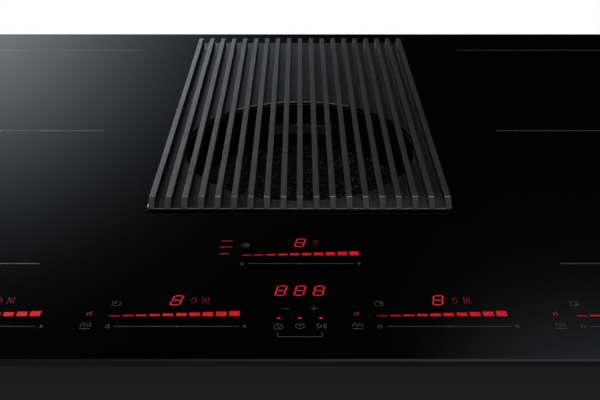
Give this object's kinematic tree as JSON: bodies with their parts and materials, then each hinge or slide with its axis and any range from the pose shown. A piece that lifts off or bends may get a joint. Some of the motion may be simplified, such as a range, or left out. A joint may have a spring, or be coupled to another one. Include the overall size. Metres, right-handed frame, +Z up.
{
  "type": "downdraft induction cooktop",
  "caption": "Built-in black glass induction hob with a central slatted extraction grille, lift-out grease filter, air box, blower and flat-duct outlet under the worktop.",
  "frame": {"origin": "centre of the glass in plan, on the plane of the worktop's top face that the sealing tape rests on", "axes": "+X to the user's right, +Y away from the user to the back, +Z up"},
  "size_m": [0.83, 0.52, 0.2172],
  "materials": {
    "glass_black": "polished black ceramic glass",
    "foam_black": "closed-cell foam tape",
    "plate_black": "satin black enamel",
    "slat_black": "satin anthracite enamel",
    "rubber_grey": "matt silicone",
    "frame_black": "fine moulded grain",
    "basket_black": "semi-gloss black coating",
    "mesh_metal": "expanded metal",
    "grip_grey": "light grey moulded",
    "plastic_dark": "moulded, matt",
    "plastic_light": "moulded, matt",
    "steel_zinc": "zinc plated",
    "steel_bright": "spring steel",
    "core_steel": "laminated core",
    "aluminium_sheet": "mill finish",
    "bronze": "plain",
    "casing_dark": "dark grey powder coat",
    "mica": "pressed mica",
    "ferrite": "sintered ferrite",
    "sensor_body": "white moulded",
    "component_black": "moulded package",
    "capacitor_shell": "dipped film capacitor",
    "copper_wire": "enamelled copper",
    "board_green": "circuit board",
    "digit_lens": "smoked digit lens",
    "print_grey": "fired light grey print on the glass",
    "digit_red": "lit segments seen through the glass"
  },
  "bodies": {
    "hob": {"air_box": "plastic_dark", "blower_housing": "plastic_dark", "blower_lid": "plastic_dark", "board_posts": "steel_zinc", "cable_gland": "plastic_light", "capacitors": "capacitor_shell", "casing_floor_plates": "casing_dark", "casing_walls": "casing_dark", "chokes": "copper_wire", "coil_carriers": "plastic_light", "coil_plate_left": "aluminium_sheet", "coil_plate_right": "aluminium_sheet", "coil_springs": "steel_bright", "coil_windings": "copper_wire", "control_board": "board_green", "display_carrier": "plastic_dark", "display_modules": "digit_lens", "fan_housing_left": "plastic_dark", "fan_housing_right": "plastic_dark", "ferrite_bars": "ferrite", "glass_top": "glass_black", "heatsink_left": "aluminium_sheet", "heatsink_right": "aluminium_sheet", "inlet_ring": "steel_zinc", "mains_board": "board_green", "mica_sheets": "mica", "motor_bushes": "bronze", "motor_dampers": "rubber_grey", "motor_mount": "aluminium_sheet", "motor_stator": "core_steel", "outlet_duct": "plastic_dark", "plate_posts": "steel_zinc", "power_board_left": "board_green", "power_board_right": "board_green", "power_transistors": "component_black", "screws_m4": "steel_zinc", "seal_tape": "foam_black", "temperature_sensors": "sensor_body", "terminal_block": "plastic_light", "throat_frame": "frame_black", "throat_gasket": "rubber_grey", "touch_springs": "bronze", "tray_rails": "steel_zinc", "worktop_clips": "steel_bright"},
    "filter": {"filter_basket": "basket_black", "filter_mesh": "mesh_metal", "filter_grip": "grip_grey"},
    "grille": {"grille_plate": "plate_black", "grille_slats": "slat_black", "grille_feet": "rubber_grey"},
    "impeller": {"impeller_disc": "steel_zinc", "impeller_blades": "steel_zinc", "impeller_ring": "steel_zinc", "motor_rotor": "steel_zinc", "motor_shaft": "steel_bright"},
    "fan_left": {"fan_rotor_left": "plastic_dark"},
    "fan_right": {"fan_rotor_right": "plastic_dark"},
    "drip_tray": {"drip_tray": "plastic_dark"}
  },
  "joints": [
    {"name": "filter_lift", "type": "slide", "parent": "hob", "child": "filter", "axis": [0, 0, 1], "range_m": [0, 0.12]},
    {"name": "grille_lift", "type": "slide", "parent": "filter", "child": "grille", "axis": [0, 0, 1], "range_m": [0, 0.15]},
    {"name": "impeller_spin", "type": "hinge", "parent": "hob", "child": "impeller", "pos_m": [0, 0.086, 0], "axis": [0, 0, 1], "continuous": true},
    {"name": "fan_left_spin", "type": "hinge", "parent": "hob", "child": "fan_left", "pos_m": [-0.22175, 0.15, 0], "axis": [0, 0, 1], "continuous": true},
    {"name": "fan_right_spin", "type": "hinge", "parent": "hob", "child": "fan_right", "pos_m": [0.22175, 0.15, 0], "axis": [0, 0, 1], "continuous": true},
    {"name": "tray_slide", "type": "slide", "parent": "hob", "child": "drip_tray", "axis": [0, -1, 0], "range_m": [0, 0.12]}
  ]
}
